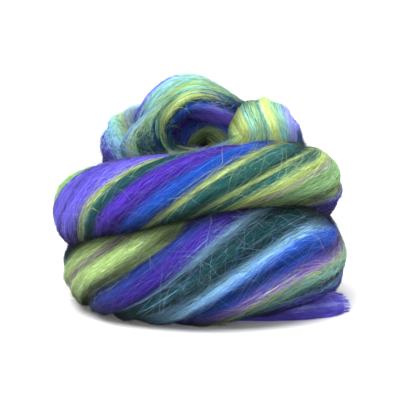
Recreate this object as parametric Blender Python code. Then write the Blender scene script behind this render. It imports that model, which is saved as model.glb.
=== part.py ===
"""Wool roving: a length of combed, striped wool top wound up into a three-tier heap.

The roving is one soft twisted rope, 30 to 52 mm thick. It starts inside the heap and winds round
anticlockwise and upwards in two turns. Then it makes a bun on top, where it is drawn out to 12 mm:
a hump on the right, a hump on the left, a turn behind, and a small arch that curls into itself. Its
loose end lies on the surface at the front right, pressed under the lowest turn.

Metres, +Z up. The origin is the middle of the whole part's footprint, on the surface it stands on.
-Y is the front and +X the right.
"""

import math
from typing import NamedTuple

import bmesh
import bpy
from mathutils import Matrix, Vector

MM = 0.001

# ---- driving dimensions ----------------------------------------------------------------------
SECTION_STEP = 3.5 * MM  # distance between the rings of the rope
LINE_STEPS = 40  # short chords between two stations, by which the rope's length is measured
RING_POINTS = 48  # points in one ring
TIP_SHARE = 0.3  # size of the first and last ring, as a share of the rope there
GROOVE_DEPTH = 0.125  # depth of the valleys between the locks of wool, as a share of the radius
GROOVE_WIDTH = 0.036  # half-width of such a valley, in turns round the rope
LOCK_EDGES = (0.02, 0.14, 0.21, 0.44, 0.54, 0.70, 0.83, 0.92)  # valleys, in turns round the rope
FOLD_DEPTH = 5.5 * MM  # the one deep fold, across the front left of the lowest turn
FOLD_WIDTH = 0.036  # its half-width, in turns round the rope
FOLD_TURN = 0.325  # where it is round the rope
FOLD_START, FOLD_END = 95 * MM, 165 * MM  # the stretch of the rope that it marks
SKIN_VOXEL = 2.0 * MM  # grid on which the turns fuse into one skin
SKIN_SHARE = 0.22  # share of that skin's faces that the solid keeps
NEST_GAP = 0.7 * MM  # space between the loose end and the turn that lies on it
NEST_SINK = 5 * MM  # how far that cut runs on below the surface
SLAB = 0.3  # side of the block below the surface, which cuts the base flat
TONGUE_STEPS = 6  # rings between two places on the loose end
TONGUE_POINTS = 24  # points in one of its rings
TONGUE_BELLY = 0.4  # how high its widest place is, as a share of half its round height
TONGUE_BLUNT = 0.3  # share of its size that is rounded away at the tip


class Station(NamedTuple):
    """One place on the rope's middle line, in millimetres, and how the wool lies there."""

    place: str
    x: float
    y: float
    z: float
    radius: float
    twist: float  # turns that the fibres have made round the rope since its start


class Flat(NamedTuple):
    """One place on the loose end, in millimetres: the middle of its width, and its section."""

    place: str
    x: float
    y: float
    half_width: float
    thick: float


ROPE = (
    Station("core", 14, 4, 20, 15, 0.00),
    Station("core back", 2, 20, 17, 18, 0.08),
    Station("first back left", -25, 27, 17.5, 19, 0.20),
    Station("first left", -44, 4, 16.5, 18, 0.40),
    Station("first front left", -31.5, -28.5, 19.5, 20.8, 0.64),
    Station("first front", 1, -37, 24.5, 25.8, 0.84),
    Station("first front right", 29.5, -27.5, 28.5, 25.7, 0.965),
    Station("first right", 43, 1, 21, 23, 1.08),
    Station("first back right", 34, 29, 32, 20, 1.195),
    Station("second back", 0, 41, 38, 20, 1.34),
    Station("second back left", -34, 29, 41, 19, 1.53),
    Station("second left", -48.3, -2, 42.3, 18.3, 1.735),
    Station("second front left", -31, -32, 52.9, 16.5, 2.05),
    Station("second front", 2, -38.5, 59, 14.9, 2.32),
    Station("second front right", 32, -26.5, 60.6, 16, 2.51),
    Station("second right", 47, 2, 53, 17, 2.70),
    Station("second back right", 35, 27, 55, 17, 2.83),
    Station("right hump back", 33, 14, 68, 15, 2.92),
    Station("right hump", 27.5, -3, 78, 15.5, 3.00),
    Station("right hump front", 25, -14, 68, 14, 3.08),
    Station("under the bun", 2, -14, 58, 13, 3.20),
    Station("left hump front", -23, -17, 60, 14, 3.32),
    Station("left hump", -29, -2, 72, 15, 3.42),
    Station("third back left", -20, 18, 74, 15, 3.54),
    Station("third back", 4, 25, 76, 15, 3.66),
    Station("behind the arch", 22, 14, 72, 12.5, 3.76),
    Station("arch right", 14, 2.5, 83, 9.5, 3.84),
    Station("arch top", -6, -9, 94.5, 9.5, 3.93),
    Station("arch left", -20, -11, 83, 8.5, 4.00),
    Station("arch foot", -17, -12, 68, 9, 4.06),
    Station("curl floor", 0, -8, 62, 9, 4.13),
    Station("curl right", 13, -4, 71, 7, 4.19),
    Station("curl top", 4, -3, 81, 6.5, 4.24),
    Station("curl left", -7, -4, 75, 6.5, 4.28),
    Station("curl end", -4, -4, 68, 6, 4.31),
)

LOOSE_END = (
    Flat("under the heap", 4, -27, 7, 3.0),
    Flat("coming out", 20, -27, 9.5, 5.5),
    Flat("front right", 37, -25, 11, 8.5),
    Flat("near the tip", 50, -20.5, 11, 10.0),
    Flat("tip", 60.5, -15.5, 9.5, 9.3),
)

# The wool inside the heap that fills the hollow between the turns: middle and half-sizes, mm.
FILLING = (
    (0, 0, 22, 34, 30, 24),
    (0, 2, 46, 34, 30, 22),
    (2, 6, 62, 24, 20, 13),
)

WOOL_ROUGHNESS = 0.85
HEAP_COLOUR = (0.17, 0.14, 0.55, 1.0)
LOOSE_END_COLOUR = (0.23, 0.11, 0.52, 1.0)


# ---- helpers -----------------------------------------------------------------------------------
def clear_scene():
    for obj in list(bpy.data.objects):
        bpy.data.objects.remove(obj)


def wool_material(name, colour):
    material = bpy.data.materials.new(name)
    material.use_nodes = True
    shader = material.node_tree.nodes["Principled BSDF"]
    shader.inputs["Base Color"].default_value = colour
    shader.inputs["Roughness"].default_value = WOOL_ROUGHNESS
    shader.inputs["Metallic"].default_value = 0.0
    return material


def add_node(name, mesh):
    node = bpy.data.objects.new(name, mesh)
    bpy.context.scene.collection.objects.link(node)
    return node


def to_mesh(shape, name):
    """The bmesh as a mesh with its normals outwards."""
    bmesh.ops.recalc_face_normals(shape, faces=shape.faces)
    mesh = bpy.data.meshes.new(name)
    shape.to_mesh(mesh)
    shape.free()
    return mesh


def spline(rows, t):
    """Catmull-Rom value through rows of numbers at t, where row i is passed at t = i."""
    i = min(int(t), len(rows) - 2)
    f = t - i
    before, here = rows[max(i - 1, 0)], rows[i]
    there, after = rows[i + 1], rows[min(i + 2, len(rows) - 1)]
    values = []
    for a, b, c, d in zip(before, here, there, after):
        slope = (c - a) / 2
        next_slope = (d - b) / 2
        values.append(
            b
            + slope * f
            + (3 * (c - b) - 2 * slope - next_slope) * f**2
            + (2 * (b - c) + slope + next_slope) * f**3
        )
    return values


def add_skin(shape, rings):
    """Closes a row of equal rings into one tube with flat ends."""
    for ring, following in zip(rings, rings[1:]):
        for j in range(len(ring)):
            after = (j + 1) % len(ring)
            shape.faces.new((ring[j], ring[after], following[after], following[j]))
    shape.faces.new(list(reversed(rings[0])))
    shape.faces.new(rings[-1])


# ---- the wound rope ------------------------------------------------------------------------------
def rope_line(stations, step):
    """Evenly spaced (centre, radius, twist) along the stations in metres, and the length."""
    rows = [station[1:] for station in stations]
    fine = [spline(rows, k / LINE_STEPS) for k in range(LINE_STEPS * (len(rows) - 1) + 1)]
    lengths = [0.0]
    for a, b in zip(fine, fine[1:]):
        lengths.append(lengths[-1] + (Vector(b[:3]) - Vector(a[:3])).length * MM)
    count = max(2, round(lengths[-1] / step))
    line, k = [], 0
    for n in range(count + 1):
        want = lengths[-1] * n / count
        while k < len(lengths) - 2 and lengths[k + 1] < want:
            k += 1
        share = (want - lengths[k]) / (lengths[k + 1] - lengths[k])
        x, y, z, radius, twist = (a + (b - a) * share for a, b in zip(fine[k], fine[k + 1]))
        line.append((Vector((x, y, z)) * MM, radius * MM, twist))
    return line, lengths[-1]


def moving_frames(centres):
    """(normal, side) at each centre, carried along the line without turning round it."""
    last = len(centres) - 1
    tangents = [
        (centres[min(k + 1, last)] - centres[max(k - 1, 0)]).normalized() for k in range(last + 1)
    ]
    normal = tangents[0].cross(Vector((0, 0, 1))).normalized()
    frames = []
    for tangent in tangents:
        normal = (normal - tangent * normal.dot(tangent)).normalized()
        frames.append((normal, normal.cross(tangent)))
    return frames


def valley(turn, middle, half_width):
    """1 at the middle, falling smoothly to 0 half_width away, all in turns round the rope."""
    away = abs((turn - middle + 0.5) % 1 - 0.5) / half_width
    return 0.0 if away >= 1 else (1 - away**2) ** 2


def relief(turn, along, radius):
    """How far the surface lies below the plain round rope, in metres."""
    depth = GROOVE_DEPTH * radius * max(valley(turn, edge, GROOVE_WIDTH) for edge in LOCK_EDGES)
    if FOLD_START < along < FOLD_END:
        fade = math.sin(math.pi * (along - FOLD_START) / (FOLD_END - FOLD_START)) ** 0.5
        depth = max(depth, FOLD_DEPTH * fade * valley(turn, FOLD_TURN, FOLD_WIDTH))
    return depth


def add_rope(shape):
    """The rope as one closed tube whose lengthwise edges follow the twisted fibres."""
    line, length = rope_line(ROPE, SECTION_STEP)
    frames = moving_frames([centre for centre, _, _ in line])
    last = len(line) - 1
    rings = []
    for k, ((centre, radius, twist), (normal, side)) in enumerate(zip(line, frames)):
        along = length * k / last
        end = min(along, length - along) / radius
        size = TIP_SHARE + (1 - TIP_SHARE) * math.sqrt(1 - max(0.0, 1 - end) ** 2)
        ring = []
        for j in range(RING_POINTS):
            turn = j / RING_POINTS
            angle = math.tau * (turn + twist)
            reach = radius * size - relief(turn, along, radius)
            spoke = normal * math.cos(angle) + side * math.sin(angle)
            ring.append(shape.verts.new(centre + spoke * reach))
        rings.append(ring)
    add_skin(shape, rings)


def add_filling(shape):
    for x, y, z, half_x, half_y, half_z in FILLING:
        place = Matrix.Translation(Vector((x, y, z)) * MM)
        size = Matrix.Diagonal((half_x * MM, half_y * MM, half_z * MM, 1))
        bmesh.ops.create_icosphere(shape, subdivisions=4, radius=1, matrix=place @ size)


# ---- the loose end -------------------------------------------------------------------------------
def add_loose_end(shape, grow=0.0, floor=0.0):
    """A flat tongue of wool on the surface. A cutter is grown all round and has a lower floor."""
    rows = [flat[1:] for flat in LOOSE_END]
    steps = TONGUE_STEPS * (len(rows) - 1)
    spots = [spline(rows, k / TONGUE_STEPS) for k in range(steps + 1)]
    middles = [Vector((x, y, 0)) * MM for x, y, _, _ in spots]
    length = sum((b - a).length for a, b in zip(middles, middles[1:]))
    rings = []
    for k, (_, _, half_width, thick) in enumerate(spots):
        along = (middles[min(k + 1, steps)] - middles[max(k - 1, 0)]).normalized()
        across = Vector((-along.y, along.x, 0))
        ahead = (k == steps) - (k == 0)
        to_end = length * (1 - k / steps) / (thick * MM)
        blunt = 1 - TONGUE_BLUNT * max(0.0, 1 - to_end) ** 2
        ring = []
        for j in range(TONGUE_POINTS):
            angle = math.tau * j / TONGUE_POINTS
            out = (half_width * MM * blunt + grow) * math.cos(angle)
            up = (TONGUE_BELLY + math.sin(angle)) / (TONGUE_BELLY + 1) * thick * MM * blunt
            up = floor if up <= 0 else up + grow
            place = middles[k] + across * out + along * ahead * grow
            ring.append(shape.verts.new(place + Vector((0, 0, up))))
        rings.append(ring)
    add_skin(shape, rings)


def add_cutter(name, shape):
    cutter = add_node(name, to_mesh(shape, name))
    cutter.hide_render = True
    cutter.display_type = "WIRE"
    return cutter


def cut(node, cutter):
    step = node.modifiers.new(f"cut by {cutter.name}", "BOOLEAN")
    step.operation = "DIFFERENCE"
    step.solver = "EXACT"
    step.object = cutter


# ---- the part ------------------------------------------------------------------------------------
def build_heap():
    """The wound rope: its turns fused into one skin, cut flat below and round the loose end."""
    shape = bmesh.new()
    add_rope(shape)
    add_filling(shape)
    heap = add_node("wound_roving", to_mesh(shape, "wound_roving"))
    heap.data.materials.append(wool_material("striped wool top, wound", HEAP_COLOUR))

    fuse = heap.modifiers.new("fuse the turns", "REMESH")
    fuse.mode = "VOXEL"
    fuse.voxel_size = SKIN_VOXEL
    thin = heap.modifiers.new("fewer faces", "DECIMATE")
    thin.ratio = SKIN_SHARE

    shape = bmesh.new()
    place = Matrix.Translation((0, 0, -SLAB / 2)) @ Matrix.Diagonal((SLAB, SLAB, SLAB, 1))
    bmesh.ops.create_cube(shape, size=1, matrix=place)
    cut(heap, add_cutter("surface", shape))

    shape = bmesh.new()
    add_loose_end(shape, NEST_GAP, -NEST_SINK)
    cut(heap, add_cutter("nest", shape))


def build_loose_end():
    """The end of the wool that sticks out at the front right."""
    shape = bmesh.new()
    add_loose_end(shape)
    tongue = add_node("loose_end", to_mesh(shape, "loose_end"))
    tongue.data.materials.append(wool_material("striped wool top, loose end", LOOSE_END_COLOUR))


def main():
    clear_scene()
    build_heap()
    build_loose_end()


main()
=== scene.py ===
"""Wool roving: a length of combed, space-dyed wool top wound up into a heap. This is its look.

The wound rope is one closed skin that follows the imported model's rope, with the locks of wool as
ridges. On it lie the fibres: combed ones along the twist, stray ones across it, tangled ones on
the bun, and a thin halo that stands off. Drawn fibres hang from the bun's arch, and the inner turns
fill the gaps. The loose end is made like the rope, with fibres that stand out past its end.

Metres, +Z up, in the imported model's frame. -Y is the front and +X the right.
"""

import logging
import math
from dataclasses import dataclass, field
from enum import Enum, IntEnum
from typing import NamedTuple

import bpy
import numpy as np
from mathutils import Matrix, Vector


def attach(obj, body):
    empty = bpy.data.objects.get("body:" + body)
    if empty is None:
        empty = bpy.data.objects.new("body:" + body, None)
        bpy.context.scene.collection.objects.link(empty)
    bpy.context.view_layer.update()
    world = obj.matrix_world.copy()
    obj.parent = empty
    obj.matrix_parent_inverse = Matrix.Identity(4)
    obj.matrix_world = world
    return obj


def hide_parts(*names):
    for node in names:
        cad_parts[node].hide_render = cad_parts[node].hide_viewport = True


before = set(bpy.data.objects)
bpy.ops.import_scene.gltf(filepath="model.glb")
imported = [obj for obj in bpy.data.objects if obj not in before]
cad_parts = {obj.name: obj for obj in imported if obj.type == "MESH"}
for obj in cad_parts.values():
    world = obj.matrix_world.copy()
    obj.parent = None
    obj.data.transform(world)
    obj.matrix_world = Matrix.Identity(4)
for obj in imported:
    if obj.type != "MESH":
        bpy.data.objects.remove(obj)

Material = bpy.types.Material
Mesh = bpy.types.Mesh
Piece = bpy.types.Object
Socket = bpy.types.NodeSocket
Tree = bpy.types.NodeTree

MM = 0.001
WOOL_MAP = "OFBake"  # the UV map: turns round the rope, and the share of its length
# Attributes that only the laying of fibres needs.
HELPERS = (
    "outward", "ahead", "shown", "bun", "root", "strand", "share", "wool place", "corner", "id"
)
LOG = logging.getLogger("wool roving")


class Station(NamedTuple):
    """One place on the rope's middle line, in millimetres, and how the wool lies there."""

    place: str
    x: float
    y: float
    z: float
    radius: float
    twist: float


class Flat(NamedTuple):
    """One place on the loose end, in millimetres: the middle of its width, and its section."""

    place: str
    x: float
    y: float
    half_width: float
    thick: float


ROPE = (
    Station("core", 14, 4, 20, 15, 0.00),
    Station("core back", 2, 20, 17, 18, 0.08),
    Station("first back left", -25, 27, 17.5, 19, 0.20),
    Station("first left", -44, 4, 16.5, 18, 0.40),
    Station("first front left", -31.5, -28.5, 19.5, 20.8, 0.64),
    Station("first front", 1, -37, 24.5, 25.8, 0.84),
    Station("first front right", 29.5, -27.5, 28.5, 25.7, 0.965),
    Station("first right", 43, 1, 21, 23, 1.08),
    Station("first back right", 34, 29, 32, 20, 1.195),
    Station("second back", 0, 41, 38, 20, 1.34),
    Station("second back left", -34, 29, 41, 19, 1.53),
    Station("second left", -48.3, -2, 42.3, 18.3, 1.735),
    Station("second front left", -31, -32, 52.9, 16.5, 2.05),
    Station("second front", 2, -38.5, 59, 14.9, 2.32),
    Station("second front right", 32, -26.5, 60.6, 16, 2.51),
    Station("second right", 47, 2, 53, 17, 2.70),
    Station("second back right", 35, 27, 55, 17, 2.83),
    Station("right hump back", 33, 14, 68, 15, 2.92),
    Station("right hump", 27.5, -3, 78, 15.5, 3.00),
    Station("right hump front", 25, -14, 68, 14, 3.08),
    Station("under the bun", 2, -14, 58, 13, 3.20),
    Station("left hump front", -23, -17, 60, 14, 3.32),
    Station("left hump", -29, -2, 72, 15, 3.42),
    Station("third back left", -20, 18, 74, 15, 3.54),
    Station("third back", 4, 25, 76, 15, 3.66),
    Station("behind the arch", 22, 14, 72, 12.5, 3.76),
    Station("arch right", 14, 2.5, 83, 9.5, 3.84),
    Station("arch top", -6, -9, 94.5, 9.5, 3.93),
    Station("arch left", -20, -11, 83, 8.5, 4.00),
    Station("arch foot", -17, -12, 68, 9, 4.06),
    Station("curl floor", 0, -8, 62, 9, 4.13),
    Station("curl right", 13, -4, 71, 7, 4.19),
    Station("curl top", 4, -3, 81, 6.5, 4.24),
    Station("curl left", -7, -4, 75, 6.5, 4.28),
    Station("curl end", -4, -4, 68, 6, 4.31),
)

LOOSE_END = (
    Flat("under the heap", 4, -27, 7, 3.0),
    Flat("coming out", 20, -27, 9.5, 5.5),
    Flat("front right", 37, -25, 11, 8.5),
    Flat("near the tip", 50, -20.5, 11, 10.0),
    Flat("tip", 60.5, -15.5, 9.5, 9.3),
)


# ---- colour ------------------------------------------------------------------------------------
def linear(code: str) -> tuple[float, float, float, float]:
    """Turns an sRGB hex colour into the linear one that a shader works with.

    Args:
        code: Six hex digits.

    Returns:
        Linear red, green, blue and an alpha of 1.
    """
    parts = (int(code[i : i + 2], 16) / 255 for i in (0, 2, 4))
    red, green, blue = (p / 12.92 if p <= 0.04045 else ((p + 0.055) / 1.055) ** 2.4 for p in parts)
    return red, green, blue, 1.0


class Dye(Enum):
    """The dye baths of the roving, as sRGB hex colours of the dry combed wool."""

    VIOLET = "3E289E"
    PURPLE = "4A2CA8"
    IRIS = "665AC6"
    LILAC = "8064F0"
    PERIWINKLE = "98A0E6"
    INDIGO = "223886"
    BLUE = "1A50B4"
    SKY = "82B2D2"
    TEAL = "0A4046"
    PINE = "24605E"
    SEA = "84BEAE"
    GREEN = "96BE86"
    LIME = "98B272"
    YELLOW = "BCD07E"
    OLIVE = "687C4E"
    MAUVE = "92868F"
    PINK = "7A5AA8"
    MIST = "A2C2D2"
    FROST = "A6DCFF"


class Band(NamedTuple):
    """A stripe of the chart: where it starts, in turns round the rope, and its dye."""

    start: float
    dye: Dye


@dataclass(frozen=True)
class Chart:
    """The stripes round one stretch of the roving, up to a place along it, in metres."""

    name: str
    until: float
    fade: float  # length over which the next chart takes over
    bands: tuple[Band, ...]


def chart(name: str, until: float, fade: float, stripes: dict[int, Dye]) -> Chart:
    """Makes a chart.

    Args:
        name: The stretch of the roving.
        until: How far along the roving the chart holds, in metres.
        fade: Length over which the next chart takes over, in metres.
        stripes: Each stripe's dye, by where it starts, in thousandths of a turn.

    Returns:
        The chart.
    """
    return Chart(name, until, fade, tuple(Band(at / 1000, dye) for at, dye in stripes.items()))


# What the inner turn and the first turn share: stripes before and after their bright ones.
TURN_START = {0: Dye.IRIS, 18: Dye.BLUE, 78: Dye.SKY}
TURN_END = {
    262: Dye.INDIGO, 325: Dye.LIME, 430: Dye.MAUVE, 462: Dye.LIME, 565: Dye.TEAL, 610: Dye.VIOLET,
    870: Dye.SKY, 885: Dye.TEAL, 925: Dye.SEA, 955: Dye.YELLOW, 972: Dye.PINK,
}
CORE_TURN = chart("inner turn and the left of the first", 148 * MM, 36 * MM, TURN_START | {
    124: Dye.TEAL, 189: Dye.SKY, 196: Dye.VIOLET,
} | TURN_END)
FIRST_TURN = chart("first turn", 300 * MM, 60 * MM, TURN_START | {
    112: Dye.TEAL, 186: Dye.FROST, 204: Dye.VIOLET,
} | TURN_END)
SECOND_TURN = chart("second turn", 522 * MM, 36 * MM, {
    0: Dye.IRIS, 165: Dye.LIME, 215: Dye.GREEN, 325: Dye.MAUVE, 342: Dye.YELLOW, 390: Dye.PINE,
    428: Dye.YELLOW, 444: Dye.PINE, 544: Dye.YELLOW, 576: Dye.BLUE, 676: Dye.PURPLE, 800: Dye.PINE,
    862: Dye.YELLOW, 890: Dye.IRIS,
})
# What the top of the right hump and its front share.
HUMP_START = {
    0: Dye.PERIWINKLE, 100: Dye.BLUE, 200: Dye.TEAL, 300: Dye.LIME, 380: Dye.VIOLET, 500: Dye.SKY,
    560: Dye.GREEN, 640: Dye.YELLOW,
}
RIGHT_HUMP = chart("right hump", 562 * MM, 10 * MM, HUMP_START | {
    725: Dye.PINE, 740: Dye.TEAL, 800: Dye.PINE, 820: Dye.YELLOW, 870: Dye.GREEN, 925: Dye.MAUVE,
    950: Dye.PERIWINKLE,
})
RIGHT_FRONT = chart("front of the right hump", 600 * MM, 30 * MM, HUMP_START | {
    730: Dye.SEA, 765: Dye.GREEN, 800: Dye.SEA, 830: Dye.YELLOW, 880: Dye.SEA, 925: Dye.SKY,
    950: Dye.PERIWINKLE,
})
LEFT_HUMP = chart("left hump", 705 * MM, 36 * MM, {
    0: Dye.TEAL, 100: Dye.BLUE, 220: Dye.SKY, 330: Dye.MIST, 450: Dye.YELLOW, 480: Dye.SEA,
    515: Dye.SKY, 590: Dye.VIOLET, 700: Dye.PERIWINKLE, 800: Dye.LIME, 900: Dye.SEA,
})
ARCH = chart("arch", 760 * MM, 16 * MM, {
    0: Dye.PERIWINKLE, 96: Dye.MIST, 112: Dye.YELLOW, 138: Dye.SEA, 166: Dye.LIME, 186: Dye.SEA,
    212: Dye.TEAL, 240: Dye.BLUE, 273: Dye.TEAL, 303: Dye.INDIGO, 343: Dye.PERIWINKLE,
    360: Dye.LILAC, 488: Dye.VIOLET, 570: Dye.OLIVE, 600: Dye.TEAL, 800: Dye.BLUE, 900: Dye.IRIS,
})
ARCH_FOOT = chart("arch leg", 785 * MM, 12 * MM, {
    0: Dye.PERIWINKLE, 45: Dye.SEA, 90: Dye.MIST, 120: Dye.SEA, 160: Dye.YELLOW, 200: Dye.SEA,
    230: Dye.YELLOW, 300: Dye.TEAL, 340: Dye.BLUE, 400: Dye.INDIGO, 430: Dye.IRIS, 500: Dye.VIOLET,
    600: Dye.TEAL, 700: Dye.LIME, 800: Dye.BLUE, 900: Dye.IRIS,
})
# Dyes, and painted shade: the dark pine, indigo and teal here also stand for the shade where the
# leg meets the second turn.
LEG_FOOT = chart("foot of the arch", 810 * MM, 10 * MM, {
    0: Dye.PINE, 55: Dye.INDIGO, 95: Dye.SEA, 115: Dye.TEAL, 165: Dye.INDIGO, 195: Dye.PINE,
    225: Dye.GREEN, 240: Dye.TEAL, 360: Dye.INDIGO, 450: Dye.VIOLET, 540: Dye.OLIVE, 600: Dye.TEAL,
    800: Dye.BLUE, 900: Dye.INDIGO,
})
CURL = chart("curl", 900 * MM, 10 * MM, {
    0: Dye.INDIGO, 30: Dye.OLIVE, 90: Dye.LIME, 110: Dye.OLIVE, 190: Dye.YELLOW, 210: Dye.OLIVE,
    290: Dye.YELLOW, 320: Dye.OLIVE, 440: Dye.LIME, 480: Dye.OLIVE, 600: Dye.PINE, 750: Dye.VIOLET,
    900: Dye.INDIGO,
})
LOOSE_CHART = chart("loose end", 1.0, 10 * MM, {
    0: Dye.IRIS, 120: Dye.VIOLET, 160: Dye.IRIS, 300: Dye.PERIWINKLE, 340: Dye.IRIS,
    420: Dye.PERIWINKLE, 450: Dye.IRIS, 620: Dye.VIOLET, 900: Dye.IRIS,
})
PACKED_CHART = chart("inner turns", 1.0, 10 * MM, {
    0: Dye.INDIGO, 160: Dye.TEAL, 300: Dye.VIOLET, 470: Dye.BLUE, 600: Dye.OLIVE, 720: Dye.VIOLET,
    880: Dye.TEAL, 960: Dye.INDIGO,
})
VEIL_CHART = chart("veil over the left hump", 26 * MM, 8 * MM, {
    0: Dye.SKY, 120: Dye.MIST, 300: Dye.SEA, 360: Dye.MIST, 440: Dye.YELLOW, 480: Dye.SEA,
    560: Dye.LIME, 610: Dye.SEA, 690: Dye.YELLOW, 740: Dye.SEA, 820: Dye.LIME, 870: Dye.TEAL,
    930: Dye.SEA,
})
# Dyes, and painted shade: the darker pine, teal and indigo towards the foot also stand for the
# shade that the second turn casts there.
VEIL_FOOT = chart("foot of the veil", 1.0, 10 * MM, {
    0: Dye.SKY, 140: Dye.MIST, 220: Dye.YELLOW, 300: Dye.SEA, 360: Dye.YELLOW, 400: Dye.PINE,
    480: Dye.TEAL, 570: Dye.INDIGO, 640: Dye.PINE, 690: Dye.TEAL, 800: Dye.INDIGO, 900: Dye.TEAL,
})
ROPE_CHARTS = (
    CORE_TURN, FIRST_TURN, SECOND_TURN, RIGHT_HUMP, RIGHT_FRONT, LEFT_HUMP, ARCH, ARCH_FOOT,
    LEG_FOOT, CURL,
)


# ---- nodes -------------------------------------------------------------------------------------
def add(
    tree: Tree, kind: str, inputs: dict[int | str, object] | None = None, **settings: object
) -> bpy.types.Node:
    """Adds a node, sets it up and links it.

    Args:
        tree: The tree that gets the node.
        kind: The node's type.
        inputs: Socket names or numbers, each with a value or with the socket that feeds it.
        **settings: The node's own properties.

    Returns:
        The new node.
    """
    node = tree.nodes.new(kind)
    for name, value in settings.items():
        setattr(node, name, value)
    for socket, value in (inputs or {}).items():
        if isinstance(value, Socket):
            tree.links.new(value, node.inputs[socket])
        else:
            node.inputs[socket].default_value = value
    return node


def math_node(tree: Tree, operation: str, *values: object, clamp: bool = False) -> Socket:
    """Adds a Math node.

    Args:
        tree: The tree that gets the node.
        operation: What it does, such as MULTIPLY.
        *values: Its inputs in order, as numbers or sockets.
        clamp: Whether its result stays from 0 to 1.

    Returns:
        The node's output.
    """
    inputs = dict(enumerate(values))
    return add(tree, "ShaderNodeMath", inputs, operation=operation, use_clamp=clamp).outputs[0]


def mixed(tree: Tree, share: object, colour: object, other: object) -> Socket:
    """Mixes a colour with another one, by a share from 0 to 1."""
    inputs = {0: share, 6: colour, 7: other}
    return add(tree, "ShaderNodeMix", inputs, data_type="RGBA").outputs[2]


def lit(tree: Tree, level: object, colour: Socket) -> Socket:
    """Makes a colour lighter or darker by a factor."""
    return add(tree, "ShaderNodeHueSaturation", {"Value": level, "Color": colour}).outputs[0]


class Spot(NamedTuple):
    """The place on the wool that a material's nodes look at, and their tree."""

    tree: Tree
    turns: Socket  # turns round the rope
    along: Socket  # metres along it


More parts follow.
